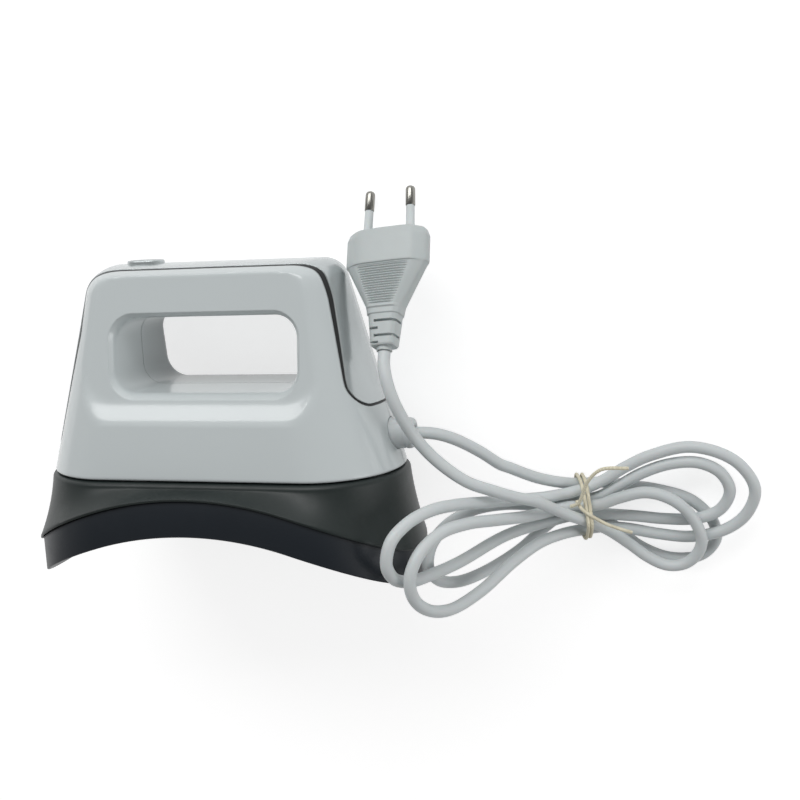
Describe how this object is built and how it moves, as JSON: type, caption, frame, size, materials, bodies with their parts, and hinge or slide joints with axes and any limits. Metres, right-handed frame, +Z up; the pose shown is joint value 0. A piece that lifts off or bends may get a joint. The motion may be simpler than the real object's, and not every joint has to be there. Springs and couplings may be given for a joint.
{
  "type": "hat heat press",
  "caption": "Hand-held heat press with a curved heated plate for hats, a closed handle, a power button and a mains cord folded into a tied hank.",
  "frame": {"origin": "middle of the footprint of the laid-down press, on the table", "axes": "+X along the press towards the end where the cord leaves, +Y from the plate towards the handle, +Z up from the table. The press lies on its rear side, so its own upright is +Y tipped 13.7 degrees towards -Z"},
  "size_m": [0.308, 0.1749, 0.0909],
  "materials": {
    "white_plastic": "glossy white moulded plastic",
    "band_plastic": "glossy white moulded plastic",
    "seam_black": "black moulded plastic",
    "shroud_grey": "satin charcoal heat-proof plastic",
    "plate_coating": "cast aluminium with a dark ceramic non-stick coating",
    "steel": "zinc-plated steel",
    "aluminium": "bare sheet",
    "mica": "brown mica and varnished paper",
    "glass_wool": "needled glass fibre",
    "board_green": "green circuit board",
    "black_plastic": "black moulded plastic",
    "white_nylon": "off-white nylon",
    "cord_grey": "light grey soft PVC",
    "nickel": "nickel-plated brass",
    "copper_red": "red insulated wire",
    "lead_blue": "blue plastic",
    "tie_cream": "cream plastic-covered wire",
    "lens_grey": "translucent grey plastic"
  },
  "bodies": {
    "press": {"front_shell": "white_plastic", "rear_shell": "white_plastic", "case_screw_1": "steel", "case_screw_2": "steel", "case_screw_3": "steel", "case_screw_4": "steel", "centre_band": "band_plastic", "inner_frame": "seam_black", "base_shroud": "shroud_grey", "heat_plate": "plate_coating", "heating_element": "mica", "element_clamp": "steel", "insulation_blanket": "glass_wool", "heat_shield": "aluminium", "thermal_fuse": "white_nylon", "thermistor": "black_plastic", "standoff_1": "steel", "plate_screw_1": "steel", "standoff_2": "steel", "plate_screw_2": "steel", "standoff_3": "steel", "plate_screw_3": "steel", "standoff_4": "steel", "plate_screw_4": "steel", "control_board": "board_green", "board_screw_1": "steel", "board_screw_2": "steel", "board_screw_3": "steel", "board_screw_4": "steel", "relay": "black_plastic", "transformer": "mica", "capacitor": "black_plastic", "terminal_block": "lead_blue", "heater_lead_1": "copper_red", "heater_lead_2": "copper_red", "sensor_lead": "white_nylon", "cord_gland": "cord_grey", "cord_inside": "cord_grey", "cord_clamp": "white_nylon", "clamp_screw_1": "steel", "clamp_screw_2": "steel", "mains_lead_1": "copper_red", "mains_lead_2": "lead_blue", "button_bezel": "band_plastic", "tact_switch": "black_plastic", "button_board": "board_green", "indicator_led": "lens_grey", "button_cable": "white_nylon", "cord_press_stretch": "cord_grey", "cord_hank": "cord_grey", "cord_plug_stretch": "cord_grey", "twist_tie": "tie_cream", "plug_body": "cord_grey", "plug_pin_1": "nickel", "plug_pin_2": "nickel"},
    "button": {"power_button": "white_plastic", "button_lens": "lens_grey", "switch_plunger": "white_nylon"}
  },
  "joints": [
    {"name": "power_button_press", "type": "slide", "parent": "press", "child": "button", "axis": [0, -0.9717, 0.2363], "range_m": [0, 0.0008], "stiffness_N_per_m": 1500}
  ]
}
